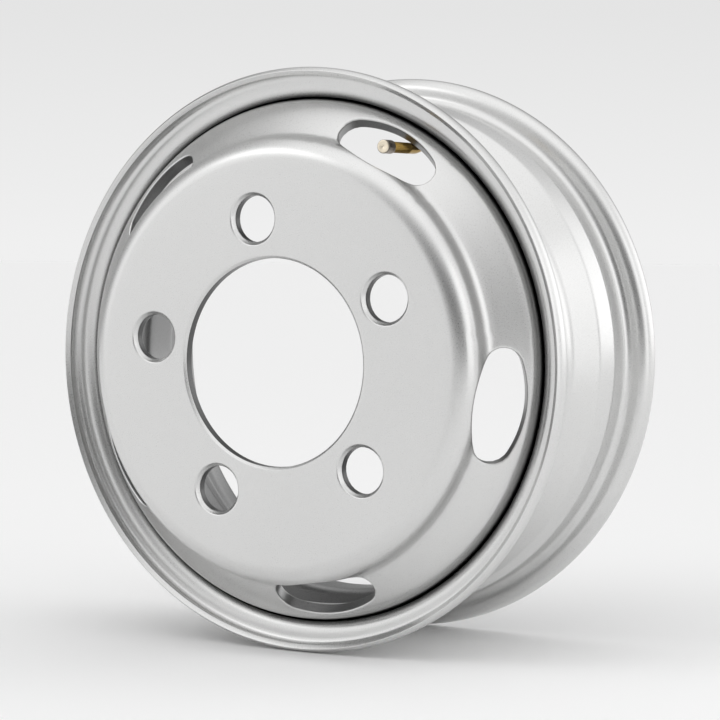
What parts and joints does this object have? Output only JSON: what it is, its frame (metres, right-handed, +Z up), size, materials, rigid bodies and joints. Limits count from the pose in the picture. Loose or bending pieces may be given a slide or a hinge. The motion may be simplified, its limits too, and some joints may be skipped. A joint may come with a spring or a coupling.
{
  "type": "steel wheel rim",
  "caption": "Pressed steel disc wheel with a drop-centre rim, hand holes, stud holes, a wide centre bore and a bent tyre valve; it carries a tyre on a vehicle's hub.",
  "frame": {"origin": "centre of the disc's flat back face, where it lies on the hub", "axes": "+Y along the axle towards the vehicle, so that the wheel's outer side faces -Y, and +Z up, with the valve in the hand hole that stands highest"},
  "size_m": [0.4152, 0.1919, 0.4151],
  "materials": {
    "silver_paint": "satin silver wheel paint over pressed steel",
    "valve_brass": "drawn and turned brass",
    "cap_plating": "nickel plated brass",
    "seal_rubber": "moulded black rubber"
  },
  "bodies": {
    "root": {"rim": "silver_paint", "disc": "silver_paint", "weld_bead": "silver_paint", "valve_stem": "valve_brass", "valve_core": "valve_brass", "valve_cap": "cap_plating", "valve_cap_seal": "seal_rubber", "valve_seal": "seal_rubber", "valve_washer": "cap_plating", "valve_nut": "cap_plating"}
  },
  "joints": []
}
